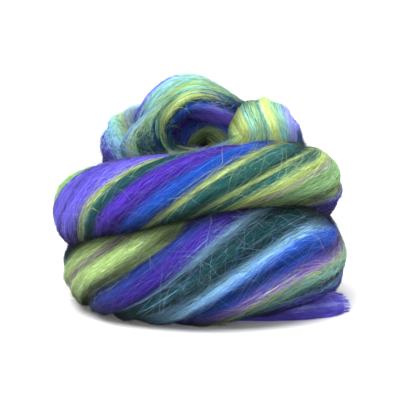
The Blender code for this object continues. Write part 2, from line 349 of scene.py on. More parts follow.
@dataclass(frozen=True)
class CombedWool:
    """The finish of combed merino wool top, dyed in stripes before it was drawn out.

    Merino fibres are 0.02 mm thick and cling together, so the streaks are wisps of them, 0.3 mm
    wide, side by side. To the eye that gives soft matt stripes with a silky grain along the twist,
    feathered edges, loose hairs across it, and a pale sheen where the light grazes them. The loose
    hairs are painted lighter than what they cross, light and pale paint whole fibres lighter as
    painted light, and the attribute opened paints shade into the creases.
    """

    name: str
    charts: tuple[Chart, ...]
    length: float
    wrap: float  # radius that the streaks are wound on, in metres
    roughness: float = 0.6
    sheen: float = 0.03
    pale: float = 0.0  # painted light: how far the wool is painted paler, towards white, where it catches more light or lets it through
    undyed: str = "DCE6EA"  # the white of undyed wool that pale and the hairs paint towards
    light: float = 1.0  # painted light: how much lighter than the chart's dyes it is painted
    wisp: float = 0.30 * MM  # width of a wisp
    wisp_length: float = 10 * MM
    tuft: float = 2.6 * MM  # width of a tuft of one shade
    tuft_length: float = 60 * MM
    edge: float = 0.007  # half the softness of a stripe's edge, in turns
    feather: float = 0.014  # how far wisps reach over a stripe's edge, in turns
    strays: float = 0.026  # how far a stray wisp comes from, in turns
    stray_share: float = 0.20  # how many wisps stray to either side, roughly
    ragged: float = 30 * MM  # how far wisps reach from one chart into the next
    contrast: float = 0.5  # how much the wisps differ in brightness
    tuft_contrast: float = 0.5
    hairs: float = 0.56  # how much the loose hairs, painted lighter, lighten what they cross
    hair_width: float = 0.5 * MM  # size of the noise whose level lines are the hairs
    hair_length: float = 8 * MM
    hair_line: float = 0.045  # how far from its mean the noise is at a hair's edge
    hair_painted_light: float = 2.2  # painted light: how much lighter a hair is painted than what it crosses
    # painted light: how far a hair is painted towards white
    hair_pale: float = 0.05
    # How many turns each layer of hairs leans by in a metre of rope, and where its noise starts.
    hair_layers: tuple[tuple[float, float], ...] = ((3.2, 5.2), (-2.6, 7.9), (6.0, 9.3))
    painted_crease_shade: float = 0.93  # how much painted shade the darkest creases between turns get
    bump: float = 0.5
    bump_height: float = 0.4 * MM

    def material(self) -> Material:
        """Builds the material."""
        material = bpy.data.materials.new(self.name)
        material.use_nodes = True
        tree = material.node_tree
        spot = self._spot(tree)
        wisps = self._grain(spot, self.wisp, self.wisp_length)
        tufts = self._grain(spot, self.tuft, self.tuft_length, shift=1.7)
        others = self._grain(spot, self.wisp, 2 * self.wisp_length, shift=3.1)
        colour = self._stripes(spot, wisps, tufts, others)
        colour = self._toned_and_painted_light(tree, colour, wisps, tufts)
        for lean, shift in self.hair_layers if self.hairs else ():
            colour = self._crossed(spot, colour, lean, shift)
        colour = self._painted_shade(tree, colour)
        shader = tree.nodes["Principled BSDF"]
        tree.links.new(colour, shader.inputs["Base Color"])
        if self.bump:
            heights = {"Strength": self.bump, "Distance": self.bump_height, "Height": wisps}
            bump = add(tree, "ShaderNodeBump", heights)
            tree.links.new(bump.outputs["Normal"], shader.inputs["Normal"])
        shader.inputs["Roughness"].default_value = self.roughness
        shader.inputs["Metallic"].default_value = 0.0
        shader.inputs["IOR"].default_value = 1.55
        shader.inputs["Specular IOR Level"].default_value = 0.07
        shader.inputs["Sheen Weight"].default_value = self.sheen
        shader.inputs["Sheen Roughness"].default_value = 0.5
        shader.inputs["Sheen Tint"].default_value = (1.0, 1.0, 1.0, 1.0)
        return material

    def _spot(self, tree: Tree) -> Spot:
        """Reads the turns round the rope, and the metres along it, from the wool's own map."""
        place = add(tree, "ShaderNodeUVMap", uv_map=WOOL_MAP)
        split = add(tree, "ShaderNodeSeparateXYZ", {0: place.outputs[0]}).outputs
        return Spot(tree, split["X"], math_node(tree, "MULTIPLY", split["Y"], self.length))

    def _noise(
        self, spot: Spot, width: float, length: float, shift: float, lean: float = 0.0
    ) -> Socket:
        """Noise drawn out along the fibres, with no seam where the turns start again.

        Args:
            spot: The place on the wool.
            width: Width of one streak in metres.
            length: Length of one streak in metres.
            shift: Moves the pattern to another place.
            lean: How many turns the streaks lean by in a metre of rope.

        Returns:
            The noise, about 0.5 on average.
        """
        tree = spot.tree
        leaning = math_node(tree, "MULTIPLY_ADD", spot.along, lean, spot.turns)
        angle = math_node(tree, "MULTIPLY", leaning, math.tau)
        x = math_node(tree, "MULTIPLY", math_node(tree, "COSINE", angle), self.wrap)
        y = math_node(tree, "MULTIPLY", math_node(tree, "SINE", angle), self.wrap)
        z = math_node(tree, "MULTIPLY_ADD", spot.along, width / length, shift)
        place = add(tree, "ShaderNodeCombineXYZ", {0: x, 1: y, 2: z}).outputs[0]
        inputs = {"Vector": place, "Scale": 0.5 / width, "Detail": 2.0, "Roughness": 0.6}
        return add(tree, "ShaderNodeTexNoise", inputs, noise_dimensions="3D").outputs[0]

    def _grain(self, spot: Spot, width: float, length: float, shift: float = 0.0) -> Socket:
        """Streaks along the fibres, spread out from 0 to 1. The arguments are as for _noise."""
        noise = self._noise(spot, width, length, shift)  # mostly from 0.28 to 0.72
        inputs = {"Value": noise, "From Min": 0.28, "From Max": 0.72}
        return add(spot.tree, "ShaderNodeMapRange", inputs).outputs[0]

    def _stripes(self, spot: Spot, wisps: Socket, tufts: Socket, others: Socket) -> Socket:
        """Picks each wisp's dye from the charts, with feathered edges and a few stray wisps.

        Args:
            spot: The place on the wool.
            wisps: The grain of wisps, which feathers the edges with the tufts.
            tufts: The grain of tufts.
            others: A second grain of wisps, which picks the stray ones.

        Returns:
            The dye's colour.
        """
        tree = spot.tree
        near = math_node(tree, "MULTIPLY_ADD", wisps, self.feather, -self.feather / 2)
        near = math_node(tree, "MULTIPLY_ADD", tufts, self.feather, near)
        near = math_node(tree, "SUBTRACT", near, self.feather / 2)
        above = math_node(tree, "GREATER_THAN", others, 1 - self.stray_share)
        below = math_node(tree, "LESS_THAN", others, self.stray_share)
        side = math_node(tree, "SUBTRACT", above, below)
        stray = math_node(tree, "MULTIPLY", side, self.strays)
        place = math_node(tree, "ADD", math_node(tree, "ADD", spot.turns, near), stray)
        place = math_node(tree, "FRACT", place)
        reach = math_node(tree, "MULTIPLY_ADD", wisps, self.ragged, spot.along)
        colour = None
        start = fade = 0.0
        for stretch in self.charts:
            ramp = add(tree, "ShaderNodeValToRGB", {0: place}, label=stretch.name)
            self._fill_ramp(ramp.color_ramp, stretch)
            if colour is None:
                colour = ramp.outputs[0]
            else:
                inputs = {"Value": reach, "From Min": start, "From Max": start + fade}
                share = add(
                    tree, "ShaderNodeMapRange", inputs, interpolation_type="SMOOTHSTEP"
                ).outputs[0]
                colour = mixed(tree, share, colour, ramp.outputs[0])
            start, fade = stretch.until - stretch.fade / 2 + self.ragged / 2, stretch.fade
        return colour

    def _fill_ramp(self, ramp: bpy.types.ColorRamp, stretch: Chart) -> None:
        """Puts a stretch's bands on a colour ramp, each edge as two stops close together.

        Args:
            ramp: The new ramp, which still has its two first stops.
            stretch: The stripes that it gets.
        """
        ramp.interpolation = "LINEAR"
        stops = []
        ends = [band.start for band in stretch.bands[2:]] + [1.0]
        for before, band, end in zip(stretch.bands, stretch.bands[1:], ends):
            room = min(end - band.start, band.start - before.start)
            soft = min(self.edge, 0.4 * room)  # so that two edges never meet in a thin stripe
            stops.append((band.start - soft, before.dye))
            stops.append((band.start + soft, band.dye))
        for _ in stops[2:]:
            ramp.elements.new(1.0)
        for element, (place, dye) in zip(ramp.elements, stops):
            element.position = place
            element.color = linear(dye.value)

    def _toned_and_painted_light(self, tree: Tree, colour: Socket, wisps: Socket, tufts: Socket) -> Socket:
        """Makes some wisps and tufts paler or deeper than others at random, and paints the whole
        wool lighter by light and paler by pale, as painted light.

        Args:
            tree: The material's tree.
            colour: The dye's colour.
            wisps: The grain of wisps.
            tufts: The grain of tufts.

        Returns:
            The colour with its shades.
        """
        low = self.light * (1 - self.contrast / 2)
        level = math_node(tree, "MULTIPLY_ADD", wisps, self.light * self.contrast, low)
        low = 1 - self.tuft_contrast / 2
        tuft_level = math_node(tree, "MULTIPLY_ADD", tufts, self.tuft_contrast, low)
        tone = lit(tree, math_node(tree, "MULTIPLY", level, tuft_level), colour)
        return mixed(tree, self.pale, tone, linear(self.undyed))

    def _crossed(self, spot: Spot, colour: Socket, lean: float, shift: float) -> Socket:
        """Draws loose hairs that lean across the grain, painted lighter than what they cross, as
        painted light where they lie on top. They are the level lines of a noise.

        Args:
            spot: The place on the wool.
            colour: What the hairs cross.
            lean: How many turns the hairs lean by in a metre of rope.
            shift: Moves the pattern to another place.

        Returns:
            The colour with the hairs on it.
        """
        tree = spot.tree
        noise = self._noise(spot, self.hair_width, self.hair_length, shift, lean)
        off = math_node(tree, "ABSOLUTE", math_node(tree, "SUBTRACT", noise, 0.5))
        off = math_node(tree, "DIVIDE", off, self.hair_line)
        hair = math_node(tree, "SUBTRACT", 1.0, off, clamp=True)
        share = math_node(tree, "MULTIPLY", hair, self.hairs / 2)
        # Painted light: each hair is a lighter, paler copy of the colour that it crosses.
        light = lit(tree, self.hair_painted_light, colour)
        light = mixed(tree, self.hair_pale, light, linear(self.undyed))
        return mixed(tree, share, colour, light)

    def _painted_shade(self, tree: Tree, colour: Socket) -> Socket:
        """Paints shade on the wool from the attribute opened: where two turns press together, and
        wherever else a piece's attribute holds painted shade.
        """
        opened = add(tree, "ShaderNodeAttribute", attribute_name="opened").outputs["Fac"]
        level = math_node(tree, "MULTIPLY_ADD", opened, self.painted_crease_shade, 1 - self.painted_crease_shade)
        return lit(tree, level, colour)


# ---- the rope's skin -----------------------------------------------------------------------------
def along_rows(rows: np.ndarray, t: np.ndarray) -> np.ndarray:
    """Catmull-Rom values through rows of numbers, where row i is passed at t = i.

    Args:
        rows: One row of numbers for each place.
        t: Where to read them.

    Returns:
        One row for each t.
    """
    last = len(rows) - 1
    i = np.minimum(t.astype(int), last - 1)
    f = (t - i)[:, None]
    before, here = rows[np.maximum(i - 1, 0)], rows[i]
    there, after = rows[i + 1], rows[np.minimum(i + 2, last)]
    slope, next_slope = (there - before) / 2, (after - here) / 2
    cubic = 3 * (there - here) - 2 * slope - next_slope
    quartic = 2 * (here - there) + slope + next_slope
    return here + slope * f + cubic * f**2 + quartic * f**3


def unit(vectors: np.ndarray) -> np.ndarray:
    """Vectors of length 1 in the same directions."""
    return vectors / np.linalg.norm(vectors, axis=-1, keepdims=True)


def valley(turns: np.ndarray, middle: np.ndarray | float, half_width: float) -> np.ndarray:
    """1 at the middle, falling smoothly to 0 half_width away, all in turns round the rope.

    Args:
        turns: Where to read the valley.
        middle: Where it is deepest.
        half_width: How far it reaches to either side.

    Returns:
        How deep it is at each place, from 0 to 1.
    """
    away = np.abs((turns - middle + 0.5) % 1 - 0.5) / half_width
    return np.where(away < 1, (1 - np.minimum(away, 1) ** 2) ** 2, 0.0)


def tube_mesh(name: str, rings: np.ndarray, clockwise: bool = False) -> Mesh:
    """A closed tube through rings of points, with the wool's own map.

    Args:
        name: The mesh's name.
        rings: Points by ring and by place in the ring.
        clockwise: Whether the places in a ring run clockwise, seen from the tube's far end.

    Returns:
        The mesh. Its map holds turns round it and the share of its length.
    """
    count, points = rings.shape[:2]
    k, j = np.meshgrid(np.arange(count - 1), np.arange(points), indexing="ij")
    after = (j + 1) % points
    quads = np.stack(
        [k * points + j, k * points + after, (k + 1) * points + after, (k + 1) * points + j], -1
    ).reshape(-1, 4)
    ends = np.stack([rings[0].mean(0), rings[-1].mean(0)])
    first, last = count * points, count * points + 1
    ring = np.arange(points)
    following = (ring + 1) % points
    start_cap = np.stack([np.full(points, first), following, ring], -1)
    base = (count - 1) * points
    end_cap = np.stack([np.full(points, last), base + ring, base + following], -1)
    mesh = bpy.data.meshes.new(name)
    vertices = np.concatenate([rings.reshape(-1, 3), ends])
    mesh.from_pydata(vertices.tolist(), [], quads.tolist() + start_cap.tolist() + end_cap.tolist())
    u0, u1 = j / points, (j + 1) / points
    v0, v1 = k / (count - 1), (k + 1) / (count - 1)
    places = np.stack([u0, v0, u1, v0, u1, v1, u0, v1], -1).reshape(-1, 2)
    a, b = ring / points, (ring + 1) / points
    low, high = np.zeros(points), np.ones(points)
    start_places = np.stack([a, low, b, low, a, low], -1).reshape(-1, 2)
    end_places = np.stack([a, high, a, high, b, high], -1).reshape(-1, 2)
    layer = mesh.uv_layers.new(name=WOOL_MAP)
    every = np.concatenate([places, start_places, end_places])
    layer.data.foreach_set("uv", every.astype(np.float32).ravel())
    mesh.polygons.foreach_set("use_smooth", [True] * len(mesh.polygons))
    if clockwise:
        mesh.flip_normals()
    mesh.update()
    return mesh


def smooth_step(values: np.ndarray) -> np.ndarray:
    """0 below 0, 1 above 1, and a smooth rise between."""
    held = np.clip(values, 0, 1)
    return held * held * (3 - 2 * held)


def vertex_normals(mesh: Mesh) -> np.ndarray:
    """The mesh's normals, one for each vertex."""
    normals = np.empty(3 * len(mesh.vertices), np.float32)
    mesh.vertex_normals.foreach_get("vector", normals)
    return normals.reshape(-1, 3)


def shown_area(mesh: Mesh, shown: np.ndarray) -> float:
    """The area of the faces that show, in square metres."""
    return sum(face.area * float(np.mean(shown[list(face.vertices)])) for face in mesh.polygons)


def add_attribute(mesh: Mesh, name: str, values: np.ndarray) -> None:
    """Adds a number or a vector to each vertex.

    Args:
        mesh: The mesh that gets the attribute.
        name: The attribute's name.
        values: One number or one vector for each vertex.
    """
    kind, key = ("FLOAT", "value") if values.ndim == 1 else ("FLOAT_VECTOR", "vector")
    layer = mesh.attributes.new(name, kind, "POINT")
    layer.data.foreach_set(key, values.astype(np.float32).ravel())


def with_caps(values: np.ndarray, start: float, end: float) -> np.ndarray:
    """Values for all vertices of a tube: those of its rings, and one for the middle of each cap.

    Args:
        values: One value for each point of the rings.
        start: The value in the middle of the first cap.
        end: The value in the middle of the last cap.

    Returns:
        One value for each vertex, in the order of tube_mesh.
    """
    return np.concatenate([values.ravel(), [start, end]])


def mark_skin(
    mesh: Mesh, opened: np.ndarray, shown: np.ndarray, ahead: np.ndarray | None = None
) -> None:
    """Gives a skin the attributes that its painted shade and the laying of fibres read.

    Args:
        mesh: The skin's mesh.
        opened: How much of the painted light reaches each vertex, from 0 to 1; below 1 is painted
            shade.
        shown: 1 for each vertex that shows and can carry fibres, else 0.
        ahead: Which way fibres run on past the skin's ends, if they do.
    """
    nowhere = np.zeros((len(mesh.vertices), 3))
    add_attribute(mesh, "outward", vertex_normals(mesh))
    add_attribute(mesh, "ahead", nowhere if ahead is None else ahead)
    add_attribute(mesh, "opened", np.repeat(opened[:, None], 3, 1))
    add_attribute(mesh, "shown", shown)


def drop_helpers(mesh: Mesh) -> None:
    """Removes what only the laying of fibres needed."""
    for name in HELPERS:
        if name in mesh.attributes:
            mesh.attributes.remove(mesh.attributes[name])


def new_piece(name: str, mesh: Mesh, material: Material) -> Piece:
    """Adds a piece to the scene, at the origin, with its material.

    Args:
        name: The piece's name.
        mesh: Its mesh, with its place already in it.
        material: Its only material.

    Returns:
        The piece.
    """
    piece = bpy.data.objects.new(name, mesh)
    bpy.context.scene.collection.objects.link(piece)
    mesh.materials.clear()
    mesh.materials.append(material)
    return piece


# ---- fibres --------------------------------------------------------------------------------------
@dataclass(frozen=True)
class Fibres:
    """One kind of fibre on the wool's skin, and how it lies."""

    name: str
    count: int
    length: float
    width: float
    points: int
    lean: float  # how far a fibre strays sideways over its length, in turns
    lift: float  # how high it lies at most, in metres
    rise: float  # how far its ends stand off, in metres
    waves: float  # sideways waves, in metres
    seed: int
    where: str = "shown"  # the attribute that says where its roots may be


class Draw(IntEnum):
    """Rows of random numbers, one for each thing in which fibres differ."""

    LENGTH = 11
    LEAN = 12
    BEND = 13
    RISE = 14
    LIFT = 15
    WIDTH = 16
    WANDER = 17
    DYE = 18


class FibreNodes:
    """A Geometry Nodes tree that ends in tapered fibres. The trees that lay them build on it."""

    name = "fibres"
    inputs: tuple[tuple[str, str], ...] = ()
    corners = 3  # of a fibre's section
    taper = 0.8  # how much thinner than in its middle a fibre is at its ends
    tip_power = 2.5  # the higher, the nearer to its ends a fibre thins and rises
    map_width = 0.003  # how far apart two corners lie on the map, in turns
    widths = (0.6, 1.2)  # thinnest and thickest fibre, as a share of the given width

    def __init__(self) -> None:
        """Builds the tree."""
        self.tree = bpy.data.node_groups.new(self.name, "GeometryNodeTree")
        face = self.tree.interface
        face.new_socket("Carrier", in_out="INPUT", socket_type="NodeSocketGeometry")
        for name, kind in (*self.inputs, ("Wool", "NodeSocketMaterial")):
            face.new_socket(name, in_out="INPUT", socket_type=kind)
        face.new_socket("Fibres", in_out="OUTPUT", socket_type="NodeSocketGeometry")
        self.given = add(self.tree, "NodeGroupInput").outputs
        self._build()

    def _build(self) -> None:
        """Adds the nodes."""
        raise NotImplementedError

    def _first(
        self, kind: str, inputs: dict[int | str, object] | None = None, **settings: object
    ) -> Socket:
        """Adds a node, as add does, and hands its first output on."""
        return add(self.tree, kind, inputs, **settings).outputs[0]

    def _calc(self, operation: str, *values: object) -> Socket:
        """Adds a Math node."""
        return math_node(self.tree, operation, *values)

    def _sum(self, a: Socket, b: Socket) -> Socket:
        """Adds two vectors."""
        return self._first("ShaderNodeVectorMath", {0: a, 1: b}, operation="ADD")

    def _scaled(self, a: Socket, scale: Socket) -> Socket:
        """Scales a vector."""
        return self._first("ShaderNodeVectorMath", {0: a, "Scale": scale}, operation="SCALE")

    def _xyz(self, *values: object) -> Socket:
        """A vector of up to three numbers or sockets."""
        return self._first("ShaderNodeCombineXYZ", dict(enumerate(values)))

    def _read(self, name: object, kind: str = "FLOAT") -> Socket:
        """The value of an attribute, which is named by a text or by a socket."""
        return self._first("GeometryNodeInputNamedAttribute", {"Name": name}, data_type=kind)

    def _store(
        self, shape: Socket, name: str, value: object, kind: str = "FLOAT", domain: str = "POINT"
    ) -> Socket:
        """Stores a named attribute and hands the geometry on.

        Args:
            shape: The geometry.
            name: The attribute's name.
            value: Its value on each element.
            kind: Its type, such as FLOAT_VECTOR.
            domain: The kind of element that carries it.

        Returns:
            The geometry with the attribute.
        """
        inputs = {"Geometry": shape, "Name": name, "Value": value}
        return self._first(
            "GeometryNodeStoreNamedAttribute", inputs, data_type=kind, domain=domain
        )

    def _random(self, low: float, high: float, draw: Draw) -> Socket:
        """A number for each strand.

        Args:
            low: Lowest value.
            high: Highest value.
            draw: The row of random numbers that it comes from.

        Returns:
            The value's socket.
        """
        inputs = {2: low, 3: high, 7: self._read("strand", "INT"), 8: draw.value}
        node = add(self.tree, "FunctionNodeRandomValue", inputs, data_type="FLOAT")
        return node.outputs[1]

    def _towards_ends(self, off_middle: Socket) -> Socket:
        """0 in a fibre's middle, and 1 at both its ends."""
        doubled = self._calc("MULTIPLY", off_middle, 2.0)
        return self._calc("POWER", self._calc("ABSOLUTE", doubled), self.tip_power)

    def _sweep(self, lines: Socket, width: object) -> None:
        """Sweeps a small section along the fibres, maps it and ends the tree.

        Args:
            lines: Curves with the attributes share, strand and wool place.
            width: Width of a fibre in metres.
        """
        calc = self._calc
        ends = self._towards_ends(calc("SUBTRACT", self._read("share"), 0.5))
        thin = calc("SUBTRACT", 1.0, calc("MULTIPLY", ends, self.taper))
        thick = calc("MULTIPLY", width, self._random(*self.widths, Draw.WIDTH))
        radius = calc("MULTIPLY", thin, calc("MULTIPLY", thick, 0.5))
        lines = self._first("GeometryNodeSetCurveRadius", {"Curve": lines, "Radius": radius})
        section = self._first(
            "GeometryNodeCurvePrimitiveCircle", {"Resolution": self.corners, "Radius": 1.0}
        )
        section = self._store(section, "corner", self._first("GeometryNodeInputIndex"))
        sweep = add(
            self.tree,
            "GeometryNodeCurveToMesh",
            {"Curve": lines, "Profile Curve": section, "Fill Caps": True},
        )
        if "Scale" in sweep.inputs:
            radii = self._first("GeometryNodeInputRadius")
            self.tree.links.new(radii, sweep.inputs["Scale"])
        # A strand has some width on the map too, or a baked texture would miss it.
        beside = self._xyz(calc("MULTIPLY", self._read("corner"), self.map_width))
        on_map = self._sum(self._read("wool place", "FLOAT_VECTOR"), beside)
        wool = self._store(sweep.outputs[0], WOOL_MAP, on_map, "FLOAT2", "CORNER")
        wool = self._first("GeometryNodeSetShadeSmooth", {"Geometry": wool})
        wool = self._first("GeometryNodeRealizeInstances", {"Geometry": wool})
        wool = self._first(
            "GeometryNodeSetMaterial", {"Geometry": wool, "Material": self.given["Wool"]}
        )
        add(self.tree, "NodeGroupOutput", {0: wool})

    def _grow(self, name: str, carrier: Piece, values: dict[str, object]) -> Piece:
        """Runs the tree on a carrier and makes a plain mesh of the fibres.

        Args:
            name: The new piece's name.
            carrier: What the tree reads.
            values: The tree's inputs by name, with the material under Wool.

        Returns:
            The finished piece.
        """
        step = carrier.modifiers.new(name, "NODES")
        step.node_group = self.tree
        for item in self.tree.interface.items_tree:
            if item.in_out == "INPUT" and item.name in values:
                step[item.identifier] = values[item.name]
        depsgraph = bpy.context.evaluated_depsgraph_get()
        grown = carrier.evaluated_get(depsgraph)
        mesh = bpy.data.meshes.new_from_object(grown, depsgraph=depsgraph)
        carrier.modifiers.remove(step)
        drop_helpers(mesh)
        mesh.name = name
        piece = new_piece(name, mesh, values["Wool"])
        LOG.info("%s: %d triangles", name, triangles(piece))
        return piece


class FibreTree(FibreNodes):
    """Lays fibres on a skin, along the wool's own map."""

    name = "lay fibres"
    inputs = (
        ("Density", "NodeSocketFloat"),
        ("Fibre length", "NodeSocketFloat"),
        ("Skin length", "NodeSocketFloat"),
        ("Width", "NodeSocketFloat"),
        ("Points", "NodeSocketInt"),
        ("Lean", "NodeSocketFloat"),
        ("Lift", "NodeSocketFloat"),
        ("Rise", "NodeSocketFloat"),
        ("Waves", "NodeSocketFloat"),
        ("Seed", "NodeSocketInt"),
        ("Where", "NodeSocketString"),
    )
    lengths = (0.55, 1.3)  # shortest and longest fibre, as a share of the given length
    bend = 1.4  # how far a fibre bends at most, as a share of its lean
    map_end = 0.002  # how near to the map's ends it is still read, as a share of its length
    overrun = 0.0025  # how far fibres run on past the skin's end, in metres
    lowest = 0.0002  # height that fibres keep above the surface, in metres
    wave_scale = 90.0  # waves in a metre, roughly
    apart = 0.4  # metres over which the strands are spread in the noise of the waves
    dye_slip = 0.008  # how far beside its root's place a fibre's dye comes from, in turns

    def _build(self) -> None:
        """Adds the nodes: scatter roots, spread points along the map, lift and sweep them."""
        given, calc, random = self.given, self._calc, self._random
        points = self._scattered()
        share = self._read("share")
        root = add(
            self.tree, "ShaderNodeSeparateXYZ", {0: self._read("root", "FLOAT_VECTOR")}
        ).outputs
        off_middle = calc("SUBTRACT", share, 0.5)
        own_length = calc("MULTIPLY", given["Fibre length"], random(*self.lengths, Draw.LENGTH))
        run = calc("DIVIDE", calc("MULTIPLY", own_length, off_middle), given["Skin length"])
        v = calc("ADD", root["Y"], run)
        lean = calc("MULTIPLY", given["Lean"], random(-1.0, 1.0, Draw.LEAN))
        u = calc("MULTIPLY_ADD", lean, off_middle, root["X"])
        bend = calc("MULTIPLY", calc("MULTIPLY", off_middle, off_middle), given["Lean"])
        u = calc("MULTIPLY_ADD", bend, random(-self.bend, self.bend, Draw.BEND), u)
        inside = calc("MINIMUM", calc("MAXIMUM", v, self.map_end), 1 - self.map_end)
        overrun = calc("MULTIPLY", calc("SUBTRACT", v, inside), given["Skin length"])
        overrun = calc("MINIMUM", overrun, self.overrun)
        place = self._xyz(calc("FRACT", u), inside)

        on_skin = self._sample(self._first("GeometryNodeInputPosition"), place)
        outward = self._sample(self._read("outward", "FLOAT_VECTOR"), place)
        ahead = self._sample(self._read("ahead", "FLOAT_VECTOR"), place)
        rising = calc("MULTIPLY", given["Rise"], random(0.0, 1.0, Draw.RISE))
        height = calc("MULTIPLY", self._towards_ends(off_middle), rising)
        level = calc("MULTIPLY", given["Lift"], random(0.0, 1.0, Draw.LIFT))
        height = calc("ADD", height, level)
        where = self._sum(on_skin, self._scaled(outward, height))
        where = self._sum(where, self._scaled(ahead, overrun))
        where = self._sum(where, self._scaled(self._wander(on_skin), given["Waves"]))
        split = add(self.tree, "ShaderNodeSeparateXYZ", {0: where}).outputs
        where = self._xyz(split["X"], split["Y"], calc("MAXIMUM", split["Z"], self.lowest))
        points = self._first("GeometryNodeSetPosition", {"Geometry": points, "Position": where})
        dyed_at = calc("ADD", root["X"], random(-self.dye_slip, self.dye_slip, Draw.DYE))
        # The map's last hundredth is left free, so that a fibre's own width stays on it.
        dyed_at = calc("MULTIPLY", calc("FRACT", dyed_at), 0.99)
        points = self._store(points, "wool place", self._xyz(dyed_at, inside), "FLOAT_VECTOR")
        # Each fibre takes the painted shade of the skin where it lies.
        opened = self._sample(self._read("opened", "FLOAT_VECTOR"), place)
        points = self._store(points, "opened", opened, "FLOAT_VECTOR")
        lines = self._first(
            "GeometryNodePointsToCurves",
            {"Points": points, "Curve Group ID": self._read("strand", "INT"), "Weight": share},
        )
        self._sweep(lines, given["Width"])

    def _scattered(self) -> Socket:
        """Points for each fibre at its root, with the attributes root, strand and share."""
        given = self.given
        density = self._calc("MULTIPLY", given["Density"], self._read(given["Where"]))
        roots = self._first(
            "GeometryNodeDistributePointsOnFaces",
            {"Mesh": given["Carrier"], "Density": density, "Seed": given["Seed"]},
            distribute_method="RANDOM",
        )
        on_map = self._read(WOOL_MAP, "FLOAT_VECTOR")
        roots = self._store(roots, "root", on_map, "FLOAT_VECTOR")
        roots = self._store(roots, "strand", self._first("GeometryNodeInputIndex"), "INT")
        copies = add(
            self.tree,
            "GeometryNodeDuplicateElements",
            {"Geometry": roots, "Amount": given["Points"]},
            domain="POINT",
        ).outputs
        last = self._calc("SUBTRACT", given["Points"], 1.0)
        share = self._calc("DIVIDE", copies["Duplicate Index"], last)
        return self._store(copies[0], "share", share)

    def _sample(self, value: Socket, place: Socket) -> Socket:
        """Reads a vector from the skin at a place on its map.

        Args:
            value: What is read.
            place: Where on the map, as U and V.

        Returns:
            The vector there.
        """
        inputs = {
            "Mesh": self.given["Carrier"],
            "Value": value,
            "UV Map": self._read(WOOL_MAP, "FLOAT_VECTOR"),
            "Sample UV": place,
        }
        return self._first("GeometryNodeSampleUVSurface", inputs, data_type="FLOAT_VECTOR")

    def _wander(self, on_skin: Socket) -> Socket:
        """A slow noise about 0, read far off for each strand, so that no two wander alike.

        Args:
            on_skin: The place on the skin.

        Returns:
            Three numbers from about -0.5 to 0.5.
        """
        apart = self._first(
            "FunctionNodeRandomValue",
            {
                0: (0.0, 0.0, 0.0),
                1: (self.apart, self.apart, self.apart),
                7: self._read("strand", "INT"),
                8: Draw.WANDER.value,
            },
            data_type="FLOAT_VECTOR",
        )
        noise = add(
            self.tree,
            "ShaderNodeTexNoise",
            {"Vector": self._sum(on_skin, apart), "Scale": self.wave_scale, "Detail": 1.0},
            noise_dimensions="3D",
        )
        return self._sum(noise.outputs["Color"], self._xyz(-0.5, -0.5, -0.5))

    def lay(
        self, fibres: Fibres, skin: Piece, area: float, skin_length: float, wool: Material
    ) -> Piece:
        """Lays one kind of fibre on a skin and makes a plain mesh of it.

        Args:
            fibres: The kind of fibre.
            skin: The piece that carries them, with its map and its attributes.
            area: How much of the skin shows, in square metres.
            skin_length: The skin's length in metres.
            wool: Their material.

        Returns:
            The finished piece.
        """
        values = {
            "Density": fibres.count / area,
            "Fibre length": fibres.length,
            "Skin length": skin_length,
            "Width": fibres.width,
            "Points": fibres.points,
            "Lean": fibres.lean,
            "Lift": fibres.lift,
            "Rise": fibres.rise,
            "Waves": fibres.waves,
            "Seed": fibres.seed,
            "Where": fibres.where,
            "Wool": wool,
        }
        return self._grow(fibres.name, skin, values)


class StrandTree(FibreNodes):
    """Makes fibres of a mesh of single lines."""

    name = "make strands"
    inputs = (("Width", "NodeSocketFloat"),)

    def _build(self) -> None:
        """Adds the nodes: lines to curves, and sweep a small section."""
        lines = add(self.tree, "GeometryNodeMeshToCurve", {"Mesh": self.given["Carrier"]})
        self._sweep(lines.outputs[0], self.given["Width"])

    def make(
        self,
        name: str,
        lines: np.ndarray,
        places: np.ndarray,
        opened: np.ndarray,
        width: float,
        wool: Material,
    ) -> Piece:
        """Makes a piece of strands.

        Args:
            name: The piece's name.
            lines: Points by strand and by place along it.
            places: The map's turns and share of length at each point.
            opened: How much of the painted light reaches each point, from 0 to 1; below 1 is
                painted shade.
            width: Width of a strand in metres.
            wool: Their material.

        Returns:
            The finished piece.
        """
        count, points = lines.shape[:2]
        number = np.arange(count * points).reshape(count, points)
        edges = np.stack([number[:, :-1], number[:, 1:]], -1).reshape(-1, 2)
        mesh = bpy.data.meshes.new(name)
        mesh.from_pydata(lines.reshape(-1, 3).tolist(), edges.tolist(), [])
        share = np.broadcast_to(np.linspace(0, 1, points), (count, points))
        add_attribute(mesh, "share", share.ravel())
        add_attribute(mesh, "strand", np.repeat(np.arange(count), points).astype(float))
        flat = np.concatenate([places, np.zeros((count, points, 1))], 2)
        add_attribute(mesh, "wool place", flat.reshape(-1, 3))
        add_attribute(mesh, "opened", np.repeat(opened.reshape(-1, 1), 3, 1))
        carrier = bpy.data.objects.new(name, mesh)
        bpy.context.scene.collection.objects.link(carrier)
        piece = self._grow(name, carrier, {"Width": width, "Wool": wool})
        bpy.data.objects.remove(carrier)
        bpy.data.meshes.remove(mesh)
        # The carrier had the name until now.
        piece.name = name
        return piece


